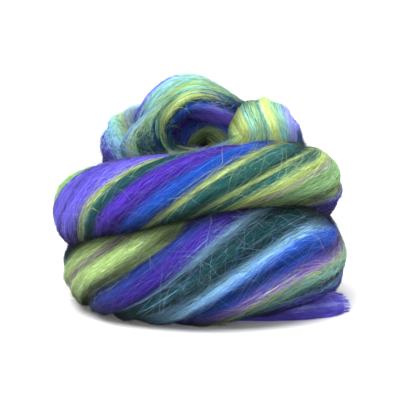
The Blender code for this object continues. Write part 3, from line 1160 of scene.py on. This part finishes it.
# ---- the heap ------------------------------------------------------------------------------------
@dataclass
class WoundRoving:
    """The wound rope: its skin and the fibres on it. Lengths are in metres."""

    section_step: float = 1.4 * MM
    ring_points: int = 84
    chords: int = 40  # steps from station to station when the rope's length is measured
    wrap: float = 20 * MM  # radius that the wool's streaks are wound on
    tip_share: float = 0.3  # radius at the rope's two ends, as a share
    groove_depth: float = 0.085  # as a share of the radius
    groove_width: float = 0.045
    lock_edges: tuple[float, ...] = (0.02, 0.11, 0.19, 0.45, 0.56, 0.68, 0.80, 0.89)
    fold_depth: float = 6.0 * MM
    fold_width: float = 0.040
    fold_turn: float = 0.325
    fold_from: float = 90 * MM
    fold_to: float = 170 * MM
    wander: float = 0.010  # how far the valleys swing, in turns
    bun_from: float = 600 * MM  # where along the rope the bun begins
    # Rows of ridges: how many round the rope, and their height in millimetres at a radius of wrap.
    ridges: tuple[tuple[int, float], ...] = ((11, 0.18), (17, 0.16), (26, 0.12))
    ridge_swing: float = 0.8  # how far the ridges swing, in radians of their own wave
    # Waves of unevenness: length in metres, number round the rope, start, and share of the radius.
    lumps: tuple[tuple[float, ...], ...] = ((0.083, 1, 0.15, 0.016), (0.131, -2, 0.4, 0.012))
    lie: float = 0.2 * MM  # how high the wool lies above the surface
    pressed: float = 6 * MM  # nearer than this to another turn, the locks lie smooth
    # Painted shade in the attribute opened, from here to facing:
    near: float = 11 * MM  # nearer than this to another turn, the wool gets painted shade
    shading_rope: float = 18 * MM  # radius of rope whose creases get nearly full painted shade
    thin_light: float = 0.1  # how much less painted shade the creases of thinner rope get
    sunk: float = 3 * MM  # depth of a valley that gets full painted shade
    sunk_painted_shade: float = 0.6  # how much painted shade it gets
    low: float = 15 * MM  # height below which the wool is painted darker towards the table
    table_painted_light: float = 0.12  # how much painted light is left at the table
    underside_painted_shade: float = 0.65  # how much painted shade the wool gets where it faces down
    facing: float = 0.9  # slope of the normal from which it does so fully
    skip: float = 7 * MM  # rope nearer along the line than this doesn't cover a place
    covered: float = 1.2 * MM  # deeper than this in another turn, the skin is covered
    pieces: list[Piece] = field(default_factory=list)

    def build(self, fibre_tree: FibreTree, tongue: "LooseEnd") -> None:
        """Makes the skin and lays the fibres.

        Args:
            fibre_tree: The nodes that lay fibres.
            tongue: The loose end, over which the lowest turn lies.
        """
        self._follow_stations()
        plain = self._surface(np.zeros((1, 1)))
        clear = self._clearance(plain)
        rings = self._surface(smooth_step(clear / self.pressed))
        rings[..., 2] = np.maximum(rings[..., 2], tongue.top_at(rings[..., :2]))
        rings[..., 2] = np.maximum(rings[..., 2], self.lie)
        mesh = tube_mesh("wound_wool", rings, clockwise=True)
        shown = self._shown(rings)
        # The skin gets painted shade in its creases, valleys, underside and near the table.
        mark_skin(mesh, self._painted_light(mesh, rings, plain, clear), shown)
        at_bun = np.repeat(self.along > self.bun_from, self.ring_points)
        in_bun = shown * with_caps(at_bun, 0, 0)
        add_attribute(mesh, "bun", in_bun)
        areas = {"shown": shown_area(mesh, shown), "bun": shown_area(mesh, in_bun)}
        skin = new_piece("wound_wool", mesh, self._wool("combed merino top, striped"))
        self.pieces.append(skin)
        # They lie in the skin's own stripes, and stand out as a grain of lighter and darker lines.
        hairs = self._wool("combed merino fibres, striped", bump=0.0, contrast=0.8, hairs=0.0)
        # They lie on top, so they are painted lighter, as painted light: pale threads that cross
        # the stripes.
        pale = self._wool(
            "stray merino fibres, pale", bump=0.0, contrast=0.6, pale=0.03, light=1.6, hairs=0.0
        )
        # Painted light: they are painted lighter and paler, as if light came through them, so the
        # outline looks soft and a little whitish.
        haze = self._wool(
            "fine merino haze, paler", bump=0.0, contrast=0.5, pale=0.15, light=1.5, hairs=0.0
        )
        for kind, material in (
            *((kind, hairs) for kind in COMBED),
            *((kind, pale) for kind in STRAY),
            (TANGLE, pale),
            (HALO, haze),
        ):
            piece = fibre_tree.lay(kind, skin, areas[kind.where], self.length, material)
            self.pieces.append(piece)
        drop_helpers(mesh)
        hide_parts("wound_roving")
        for piece in self.pieces:
            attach(piece, "root")

    def _wool(self, name: str, **look: float) -> Material:
        """The rope's wool under a name of its own, with what differs from CombedWool."""
        return CombedWool(name, ROPE_CHARTS, self.length, self.wrap, **look).material()

    def _painted_light(
        self, mesh: Mesh, rings: np.ndarray, plain: np.ndarray, clear: np.ndarray
    ) -> np.ndarray:
        """How much of the painted light reaches each vertex, from 0 to 1: painted shade in the
        creases between turns, in the valleys between locks, near the table and where the wool faces
        down.

        Args:
            mesh: The skin's mesh.
            rings: Its points by ring and by place in the ring.
            plain: The same points on the plain round rope.
            clear: How far each is from the nearest other turn, in metres.

        Returns:
            One number for each vertex.
        """
        opened = smooth_step(clear / self.near)
        shading = np.clip(self.radii[:, None] / self.shading_rope - self.thin_light, 0, 1)
        opened = 1 - (1 - opened) * shading
        sunk = np.linalg.norm(rings - plain, axis=2)
        opened = opened * (1 - self.sunk_painted_shade * smooth_step(sunk / self.sunk))
        high = smooth_step(rings[..., 2] / self.low)
        opened = opened * (self.table_painted_light + (1 - self.table_painted_light) * high)
        facing_down = -vertex_normals(mesh)[:-2, 2].reshape(opened.shape)
        opened = opened * (1 - self.underside_painted_shade * smooth_step(facing_down / self.facing))
        return with_caps(opened, 0.0, 0.0)

    def _follow_stations(self) -> None:
        """Works out the middle line: even steps, radius, twist and the frame at each."""
        rows = np.array([station[1:] for station in ROPE], float)
        last = len(rows) - 1
        fine = along_rows(rows, np.linspace(0, last, self.chords * last + 1))
        steps = np.linalg.norm(np.diff(fine[:, :3], axis=0), axis=1) * MM
        lengths = np.concatenate([[0], np.cumsum(steps)])
        self.length = float(lengths[-1])
        count = round(self.length / self.section_step) + 1
        self.along = np.linspace(0, self.length, count)
        values = np.stack([np.interp(self.along, lengths, c) for c in fine.T], 1)
        self.centres = values[:, :3] * MM
        self.radii = values[:, 3] * MM
        self.twists = values[:, 4]
        ahead = unit(np.gradient(self.centres, axis=0))
        normal = unit(np.cross(ahead[0], (0, 0, 1)))
        normals = []
        for tangent in ahead:
            normal = unit(normal - tangent * (normal @ tangent))
            normals.append(normal)
        self.normals = np.array(normals)
        self.sides = np.cross(self.normals, ahead)

    def _surface(self, freedom: np.ndarray) -> np.ndarray:
        """The skin's points by ring and by place in the ring.

        Args:
            freedom: From 0 where the wool is pressed smooth to 1 where its locks stand out.

        Returns:
            The points in metres.
        """
        turns = np.arange(self.ring_points)[None] / self.ring_points
        along = self.along[:, None]
        radii = self.radii[:, None]
        end = np.minimum(along, self.length - along) / radii
        size = self.tip_share + (1 - self.tip_share) * np.sqrt(1 - np.maximum(0, 1 - end) ** 2)
        relief = self._relief(turns, along, radii) * freedom
        reach = radii * size * self._lumps(turns, along) - relief
        angle = math.tau * (turns + self.twists[:, None])
        spokes = (
            self.normals[:, None] * np.cos(angle)[..., None]
            + self.sides[:, None] * np.sin(angle)[..., None]
        )
        return self.centres[:, None] + spokes * reach[..., None]

    def _lumps(self, turns: np.ndarray, along: np.ndarray) -> np.ndarray:
        """Soft unevenness of the rope, as a factor on its radius.

        Args:
            turns: Turns round the rope, as one row.
            along: Metres along it, as one column.

        Returns:
            A factor by ring and by place in the ring.
        """
        factor = 1
        for length, number, start, height in self.lumps:
            wave = np.sin(math.tau * (along / length + number * turns + start))
            factor = factor + height * wave
        return factor

    def _relief(self, turns: np.ndarray, along: np.ndarray, radii: np.ndarray) -> np.ndarray:
        """How far the skin lies below the plain round rope, in metres.

        Args:
            turns: Turns round the rope, as one row.
            along: Metres along it, as one column.
            radii: The rope's radius at each of those, as one column.

        Returns:
            A depth by ring and by place in the ring.
        """
        depth = np.zeros((len(along), turns.shape[1]))
        # Each valley swings, and each row of ridges drifts, over a length of its own.
        for i, edge in enumerate(self.lock_edges):
            swing = self.wander * np.sin(along / (19 + 4 * i) / MM + 2.1 * i)
            depth = np.maximum(depth, valley(turns, edge + swing, self.groove_width))
        depth = depth * self.groove_depth * radii
        share = np.clip((along - self.fold_from) / (self.fold_to - self.fold_from), 0, 1)
        fade = np.sqrt(np.sin(math.pi * share))
        fold = self.fold_depth * fade * valley(turns, self.fold_turn, self.fold_width)
        depth = np.maximum(depth, fold)
        for number, height in self.ridges:
            drift = self.ridge_swing * np.sin(along / (31 + number) / MM + number)
            wave = np.cos(math.tau * (number * turns + 0.37 * number + drift))
            depth = depth + height * MM * wave * radii / self.wrap
        return depth

    def clearance_of(self, points: np.ndarray) -> np.ndarray:
        """How far points outside the rope are from it, in metres, less than 0 inside it."""
        gaps = np.linalg.norm(points[..., None, :] - self.centres, axis=-1)
        return (gaps - self.radii).min(-1)

    def front_of_bun(self, x: np.ndarray, z: np.ndarray) -> np.ndarray:
        """Y of the foremost wool of the bun at each x and z, endless where there is none.

        Args:
            x: Places across the heap, in metres.
            z: Their heights.

        Returns:
            A depth for each place.
        """
        bun = self.along > self.bun_from
        middle, radii = self.centres[bun], self.radii[bun]
        inside = radii**2 - (x[..., None] - middle[:, 0]) ** 2 - (z[..., None] - middle[:, 2]) ** 2
        front = middle[:, 1] - np.sqrt(np.maximum(inside, 0))
        return np.where(inside > 0, front, np.inf).min(-1)

    def _clearance(self, rings: np.ndarray) -> np.ndarray:
        """How far each point is from the nearest other turn, in metres, less than 0 inside it.

        Args:
            rings: Points by ring and by place in the ring.

        Returns:
            A distance for each point.
        """
        clear = np.empty(rings.shape[:2])
        for k, ring in enumerate(rings):
            others = np.abs(self.along - self.along[k]) > 2 * self.radii[k]
            gaps = np.linalg.norm(ring[:, None] - self.centres[None, others], axis=2)
            clear[k] = (gaps - self.radii[None, others]).min(1)
        return clear

    def _shown(self, rings: np.ndarray) -> np.ndarray:
        """Marks each vertex 1 where the rope shows and 0 where another turn covers it.

        Args:
            rings: The skin's points by ring and by place in the ring.

        Returns:
            One number for each vertex.
        """
        shown = []
        for k, ring in enumerate(rings):
            others = np.abs(self.along - self.along[k]) > self.skip
            gaps = np.linalg.norm(ring[:, None] - self.centres[None, others], axis=2)
            inside = (gaps < self.radii[None, others] - self.covered).any(1)
            shown.append(np.where(inside | (ring[:, 2] < 2 * self.lie), 0.0, 1.0))
        return with_caps(np.array(shown), 0.0, 0.0)


COMBED = tuple(
    Fibres(
        name=f"combed_fibres_{number}", count=5200, length=24 * MM, width=0.23 * MM, points=5,
        lean=0.030, lift=0.35 * MM, rise=0.3 * MM, waves=0.8 * MM, seed=number,
    )
    for number in (1, 2)
)
STRAY = tuple(
    Fibres(
        name=f"stray_fibres_{number}", count=3600, length=16 * MM, width=0.17 * MM, points=7,
        lean=0.060, lift=0.6 * MM, rise=0.6 * MM, waves=1.8 * MM, seed=10 + number,
    )
    for number in (1, 2)
)
TANGLE = Fibres(
    name="tangled_fibres", count=1100, length=20 * MM, width=0.13 * MM, points=11,
    lean=0.30, lift=0.8 * MM, rise=1.6 * MM, waves=5.0 * MM, seed=20, where="bun",
)
HALO = Fibres(
    name="halo_fibres", count=2900, length=15 * MM, width=0.12 * MM, points=8,
    lean=0.20, lift=0.8 * MM, rise=4.5 * MM, waves=4.5 * MM, seed=21,
)


@dataclass
class Veil:
    """Thin wool drawn from the arch over the left hump, which hides the crease between them."""

    # Edges of the veil as seen from the front, from top to bottom: x and z in millimetres.
    left: tuple[tuple[float, float], ...] = (
        (-18, 93), (-25, 85.5), (-31, 79.5), (-34, 73), (-31, 66)
    )
    right: tuple[tuple[float, float], ...] = (
        (-7, 98), (-15, 92), (-19, 84), (-17, 75), (-9, 66)
    )
    count: int = 560
    points: int = 16
    width: float = 0.20 * MM
    length: float = 45 * MM  # from top to bottom
    wrap: float = 12 * MM  # radius that the wool's streaks are wound on
    lift: float = 1.1 * MM
    wave: float = 1.2 * MM
    drift: float = 0.45  # how far a strand drifts sideways, as a share of the veil's width
    swing: float = 0.05  # how far it swings on its way
    pulls: int = 14  # rounds in which it is drawn tight over hollows
    painted_shade_below: float = 69 * MM  # height below which the strands get painted shade, where the second turn would shade them
    painted_shade_fade: float = 13 * MM  # height over which the painted shade fades out
    # painted light left at the very bottom
    least_painted_light: float = 0.25
    seed: int = 41
    pieces: list[Piece] = field(default_factory=list)

    def build(self, strand_tree: StrandTree, rope: WoundRoving) -> None:
        """Makes the strands.

        Args:
            strand_tree: The nodes that make strands.
            rope: The wound rope that they lie on.
        """
        pick = np.random.default_rng(self.seed)
        edges = np.array([self.left, self.right], float) * MM
        last = edges.shape[1] - 1

        def each(low: float, high: float) -> np.ndarray:
            """A random number for each strand."""
            return pick.uniform(low, high, (self.count, 1))

        def waves(low: float, high: float) -> np.ndarray:
            """Waves down each strand, with a random number of them from low to high."""
            return np.sin(math.tau * (each(low, high) * down + each(0, 1)))

        share = np.linspace(0, 1, self.points)[None]
        start, end = each(0.0, 0.4), each(0.6, 1.0)
        down = start + (end - start) * share
        across = each(0, 1) + each(-self.drift, self.drift) * (down - 0.5)
        across = np.clip(across + self.swing * waves(0.5, 1.5), 0, 1)
        flat = down.ravel() * last
        sides = [along_rows(edge, flat).reshape(*down.shape, 2) for edge in edges]
        places = sides[0] + (sides[1] - sides[0]) * across[..., None]
        ripple = waves(0.8, 2.2) * each(0, 1) * self.wave
        x, z = places[..., 0] + ripple, places[..., 1]
        y = self._filled(rope.front_of_bun(x, z))
        for _ in range(self.pulls):
            y[:, 1:-1] = np.minimum(y[:, 1:-1], (y[:, :-2] + y[:, 2:]) / 2)
        y = y - self.lift * each(0.1, 1.0)
        # A sheer layer of pale strands, through which the darker wool behind still shows.
        wool = CombedWool(
            "drawn merino fibres, pale green", (VEIL_CHART, VEIL_FOOT), self.length, self.wrap,
            bump=0.0, contrast=0.8, hairs=0.0,
        ).material()
        on_map = np.stack([0.02 + 0.95 * across, down], -1)
        lines = np.stack([x, y, z], -1)
        # Painted shade: the strands are painted darker towards the bottom, where the second turn
        # would shade them.
        high = smooth_step((z - self.painted_shade_below) / self.painted_shade_fade)
        opened = self.least_painted_light + (1 - self.least_painted_light) * high
        piece = strand_tree.make("drawn_fibres", lines, on_map, opened, self.width, wool)
        self.pieces = [piece]
        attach(piece, "root")

    @staticmethod
    def _filled(y: np.ndarray) -> np.ndarray:
        """Gives points that have no wool behind them the depth of their nearest neighbours.

        Args:
            y: Depths by strand and by place along it, endless where there is no wool.

        Returns:
            The same depths, all of them known.
        """
        number = np.arange(y.shape[1])
        rows = []
        for row in y:
            known = np.isfinite(row)
            rows.append(np.interp(number, number[known], row[known]) if known.any() else row * 0)
        return np.array(rows)


# ---- inside the heap -----------------------------------------------------------------------------
@dataclass
class PackedWool:
    """The inner turns, pressed into one mass. It shows in the gaps between turns and from below."""

    lumps: tuple[tuple[float, ...], ...] = (  # middle and half sizes, in millimetres
        (0, 0, 22, 34, 30, 24),
        (0, 2, 46, 34, 30, 22),
        (2, 6, 62, 24, 20, 13),
    )
    levels: int = 64
    ring_points: int = 72
    length: float = 0.11  # from bottom to top along its fibres, in metres
    wrap: float = 30 * MM  # radius that the wool's streaks are wound on
    twist: float = 1.2  # turns by which its fibres wind from bottom to top
    locks: tuple[tuple[float, float], ...] = ((0.2, 0.08), (0.62, 0.1))  # valleys: turn and width
    lock_depth: float = 0.03  # as a share of the radius
    lie: float = 0.2 * MM
    covered: float = 1.2 * MM  # deeper than this in the rope, it carries no fibres
    light: float = 0.6  # painted light: it is painted in shade and keeps at most this much of the light
    painted_light_from: float = -2 * MM  # distance from the rope where the painted shade starts to lift, below 0 inside it
    painted_light_over: float = 10 * MM  # over what distance the painted light comes up
    # painted light on its caps
    cap_painted_light: float = 0.2
    pieces: list[Piece] = field(default_factory=list)

    def build(self, fibre_tree: FibreTree, rope: WoundRoving) -> None:
        """Makes the mass and lays fibres where it shows.

        Args:
            fibre_tree: The nodes that lay fibres.
            rope: The wound rope round it.
        """
        lumps = np.array(self.lumps) * MM
        # It ends just below its very top, where the last ring would shrink to a point.
        top = (lumps[:, 2] + lumps[:, 5]).max() - 0.02 * MM
        share = np.linspace(0, 1, self.levels)[:, None]
        heights = self.lie + (top - self.lie) * np.sin(math.pi / 2 * share)
        section = np.sqrt(np.clip(1 - ((heights - lumps[:, 2]) / lumps[:, 5]) ** 2, 0, 1))
        wide = (section * lumps[:, 3]).max(1)[:, None]
        deep = (section * lumps[:, 4]).max(1)[:, None]
        turns = np.arange(self.ring_points)[None] / self.ring_points
        angle = math.tau * (turns + self.twist * share)
        valleys = np.maximum(*(valley(turns, *lock) for lock in self.locks))
        lock = 1 - self.lock_depth * valleys
        x = np.interp(heights, lumps[:, 2], lumps[:, 0]) + wide * np.cos(angle) * lock
        y = np.interp(heights, lumps[:, 2], lumps[:, 1]) + deep * np.sin(angle) * lock
        rings = np.stack([x, y, np.broadcast_to(heights, x.shape)], 2)
        mesh = tube_mesh("packed_wool", rings)
        clear = rope.clearance_of(rings)
        shows = (clear > -self.covered) & (rings[..., 2] > 2 * self.lie)
        shown = with_caps(np.where(shows, 1.0, 0.0), 0.0, 0.0)
        # Painted shade: darker the deeper it lies in the rope, and never lighter than light.
        opened = self.light * smooth_step((clear - self.painted_light_from) / self.painted_light_over)
        mark_skin(mesh, with_caps(opened, self.cap_painted_light, self.cap_painted_light), shown)
        # Dark stripes with painted shade on them, so that the gaps between turns look deep.
        wool = CombedWool(
            "packed merino top, dark", (PACKED_CHART,), self.length, self.wrap
        ).material()
        skin = new_piece("packed_wool", mesh, wool)
        area = shown_area(mesh, shown)
        fibres = fibre_tree.lay(PACKED_FIBRES, skin, area, self.length, wool)
        drop_helpers(mesh)
        self.pieces = [skin, fibres]
        for piece in self.pieces:
            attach(piece, "root")


PACKED_FIBRES = Fibres(
    name="packed_fibres", count=600, length=22 * MM, width=0.22 * MM, points=7,
    lean=0.06, lift=0.4 * MM, rise=0.5 * MM, waves=1.0 * MM, seed=31,
)


# ---- the loose end -------------------------------------------------------------------------------
@dataclass
class LooseEnd:
    """The flattened end of the wool that lies under the heap. Lengths are in metres."""

    steps: int = 18  # rings between two places on it
    ring_points: int = 64
    wrap: float = 8 * MM  # radius that the wool's streaks are wound on
    belly: float = 0.4  # how far down from its middle the section goes before it is cut flat
    blunt: float = 0.3  # how much of the section is lost at the tip
    # Rows of ridges: how many round it, how far they drift, and their share of the radius.
    ridges: tuple[tuple[int, int, float], ...] = ((9, 5, 0.035), (17, -3, 0.02))
    ridge_drift: float = 0.06  # length over which they drift so far, in metres
    hidden: float = 0.2  # share of its length that carries no fibres, under the heap
    margin: float = 0.02  # farther than this from its middle line, nothing lies on it
    clearance: float = 0.5 * MM
    lie: float = 0.2 * MM
    pieces: list[Piece] = field(default_factory=list)

    def __post_init__(self) -> None:
        """Works out the middle line and the section at each ring."""
        rows = np.array([flat[1:] for flat in LOOSE_END], float)
        count = self.steps * (len(rows) - 1) + 1
        values = along_rows(rows, np.linspace(0, len(rows) - 1, count))
        self.middles = values[:, :2] * MM
        self.half_widths = values[:, 2] * MM
        self.thick = values[:, 3] * MM
        chords = np.linalg.norm(np.diff(self.middles, axis=0), axis=1)
        self.along = np.concatenate([[0], np.cumsum(chords)])
        self.length = float(self.along[-1])
        to_end = (self.length - self.along) / self.thick
        self.size = 1 - self.blunt * np.maximum(0, 1 - to_end) ** 2

    def top_at(self, places: np.ndarray) -> np.ndarray:
        """How high the wool above has to lie to clear the loose end.

        Args:
            places: X and Y of any number of places, in metres.

        Returns:
            A height for each place, 0 beside the loose end.
        """
        flat = places.reshape(-1, 2)
        top = np.zeros(len(flat))
        low, high = self.middles.min(0) - self.margin, self.middles.max(0) + self.margin
        near = ((flat > low) & (flat < high)).all(1)
        gaps = np.linalg.norm(flat[near][:, None] - self.middles[None], axis=2)
        nearest = gaps.argmin(1)
        away = gaps.min(1) / (self.half_widths[nearest] * self.size[nearest])
        rise = (self.belly + np.sqrt(np.clip(1 - away**2, 0, 1))) / (self.belly + 1)
        height = rise * self.thick[nearest] * self.size[nearest] + self.clearance
        top[near] = np.where(away < 1, height, 0)
        return top.reshape(places.shape[:-1])

    def build(self, fibre_tree: FibreTree) -> None:
        """Makes the skin and its fibres, some of which stand out past its end.

        Args:
            fibre_tree: The nodes that lay fibres.
        """
        ahead = unit(np.gradient(self.middles, axis=0))
        across = np.stack([-ahead[:, 1], ahead[:, 0]], 1)
        turns = np.arange(self.ring_points)[None] / self.ring_points
        angle = math.tau * turns
        ridge = 1
        for number, drift, height in self.ridges:
            drifted = drift * self.along[:, None] / self.ridge_drift
            ridge = ridge + height * np.cos(math.tau * (number * turns + drifted))
        out = (self.half_widths * self.size)[:, None] * np.cos(angle) * ridge
        rise = (self.belly + np.sin(angle) * ridge) / (self.belly + 1)
        up = np.maximum(rise * (self.thick * self.size)[:, None], self.lie)
        flat = self.middles[:, None] + across[:, None] * out[..., None]
        rings = np.concatenate([flat, up[..., None]], 2)
        mesh = tube_mesh("loose_wool", rings)
        forward = np.concatenate([ahead, np.zeros((len(ahead), 1))], 1)
        onward = np.concatenate([np.repeat(forward, self.ring_points, 0), forward[[0, -1]]])
        beyond = (self.along > self.hidden * self.length)[:, None]
        shown = with_caps(np.where(up > 2 * self.lie, 1.0, 0.0) * beyond, 0.0, 1.0)
        mark_skin(mesh, np.ones(len(mesh.vertices)), shown, onward)
        area = shown_area(mesh, shown)
        # The same silky wool as the heap's, in its violet stretch, painted lighter as if lit from
        # above.
        wool = self._wool("combed merino top, violet", light=1.2)
        skin = new_piece("loose_wool", mesh, wool)
        # Lighter and darker strands over it, so that the tip frays into single fibres; they are
        # painted lighter as a whole, as painted light.
        hairs = self._wool(
            "combed merino fibres, violet", bump=0.0, contrast=0.9, hairs=0.0, light=1.25
        )
        self.pieces = [skin]
        for kind in LOOSE_FIBRES:
            piece = fibre_tree.lay(kind, skin, area, self.length, hairs)
            self.pieces.append(piece)
        drop_helpers(mesh)
        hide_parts("loose_end")
        for piece in self.pieces:
            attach(piece, "root")

    def _wool(self, name: str, **look: float) -> Material:
        """The loose end's wool under a name of its own, with what differs from CombedWool."""
        return CombedWool(name, (LOOSE_CHART,), self.length, self.wrap, **look).material()


LOOSE_FIBRES = (
    Fibres(
        name="loose_end_fibres", count=1500, length=16 * MM, width=0.22 * MM, points=6,
        lean=0.05, lift=0.5 * MM, rise=0.6 * MM, waves=0.8 * MM, seed=21,
    ),
    Fibres(
        name="loose_end_fuzz", count=800, length=13 * MM, width=0.09 * MM, points=8,
        lean=0.2, lift=0.8 * MM, rise=2.5 * MM, waves=3.0 * MM, seed=22,
    ),
)


# ---- the studio ----------------------------------------------------------------------------------
@dataclass(frozen=True)
class Studio:
    """A white table, a soft high light and the camera at the photograph's angle."""

    distance: float = 0.62
    height: float = 0.150
    aim: float = 46.8 * MM  # height of the point that the camera looks at
    view_width: float = 180 * MM  # what the frame takes in at that point
    sensor: float = 36.0  # millimetres
    clip: tuple[float, float] = (0.01, 50.0)  # nearest and farthest that the camera sees
    floor_size: float = 40.0
    floor_glow: float = 0.08
    sky: float = 0.72
    sun: float = 3.9
    sun_angle: float = math.radians(40)
    sun_from: tuple[float, float, float] = (-0.25, -0.45, 1.0)  # the direction it shines from

    def build(self) -> None:
        """Adds the camera, the floor and the lights."""
        scene = bpy.context.scene
        scene.view_settings.view_transform = "Standard"
        scene.view_settings.look = "None"
        place = Vector((0.0, -self.distance, self.height))
        aim = Vector((0.0, 0.0, self.aim))
        camera = bpy.data.cameras.new("camera")
        camera.sensor_width = self.sensor
        camera.lens = self.sensor * (aim - place).length / self.view_width
        camera.clip_start, camera.clip_end = self.clip
        stand = bpy.data.objects.new("camera", camera)
        turned = (aim - place).to_track_quat("-Z", "Y").to_matrix().to_4x4()
        stand.matrix_world = Matrix.Translation(place) @ turned
        scene.collection.objects.link(stand)
        scene.camera = stand
        self._floor(scene)
        self._lights(scene)

    def _floor(self, scene: bpy.types.Scene) -> None:
        """Adds the white table, lit a little from below so that shadows on it stay light.

        Args:
            scene: The scene that gets it.
        """
        half = self.floor_size / 2
        mesh = bpy.data.meshes.new("floor")
        corners = [(-half, -half, 0), (half, -half, 0), (half, half, 0), (-half, half, 0)]
        mesh.from_pydata(corners, [], [(0, 1, 2, 3)])
        # Plain matt white that glows a little, so that shadows on it stay light.
        material = bpy.data.materials.new("matt white acrylic light table")
        material.use_nodes = True
        shader = material.node_tree.nodes["Principled BSDF"]
        shader.inputs["Base Color"].default_value = linear("F2F2F2")
        shader.inputs["Roughness"].default_value = 0.9
        shader.inputs["Specular IOR Level"].default_value = 0.1
        shader.inputs["Emission Color"].default_value = linear("FFFFFF")
        shader.inputs["Emission Strength"].default_value = self.floor_glow
        mesh.materials.append(material)
        floor = bpy.data.objects.new("floor", mesh)
        scene.collection.objects.link(floor)

    def _lights(self, scene: bpy.types.Scene) -> None:
        """Adds the soft sky and the high light, which stands at the front left.

        Args:
            scene: The scene that gets them.
        """
        world = bpy.data.worlds.new("soft white room")
        world.use_nodes = True
        sky = world.node_tree.nodes["Background"]
        sky.inputs["Color"].default_value = (1.0, 1.0, 1.0, 1.0)
        sky.inputs["Strength"].default_value = self.sky
        scene.world = world
        light = bpy.data.lights.new("high soft light", "SUN")
        light.energy = self.sun
        light.angle = self.sun_angle
        lamp = bpy.data.objects.new("high soft light", light)
        lamp.matrix_world = Vector(self.sun_from).to_track_quat("Z", "Y").to_matrix().to_4x4()
        scene.collection.objects.link(lamp)


# ---- all of it -----------------------------------------------------------------------------------
def triangles(piece: Piece) -> int:
    """How many triangles a piece has."""
    return sum(len(face.vertices) - 2 for face in piece.data.polygons)


def main() -> None:
    """Builds the studio and the wool, and logs how many pieces and triangles there are."""
    logging.basicConfig(level=logging.INFO, format="%(name)s: %(message)s")
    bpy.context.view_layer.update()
    Studio().build()
    fibre_tree = FibreTree()
    strand_tree = StrandTree()
    tongue = LooseEnd()
    heap = WoundRoving()
    heap.build(fibre_tree, tongue)
    veil = Veil()
    veil.build(strand_tree, heap)
    packed = PackedWool()
    packed.build(fibre_tree, heap)
    tongue.build(fibre_tree)
    every = heap.pieces + veil.pieces + packed.pieces + tongue.pieces
    LOG.info("%d pieces, %d triangles", len(every), sum(triangles(piece) for piece in every))


if __name__ == "__main__":
    main()
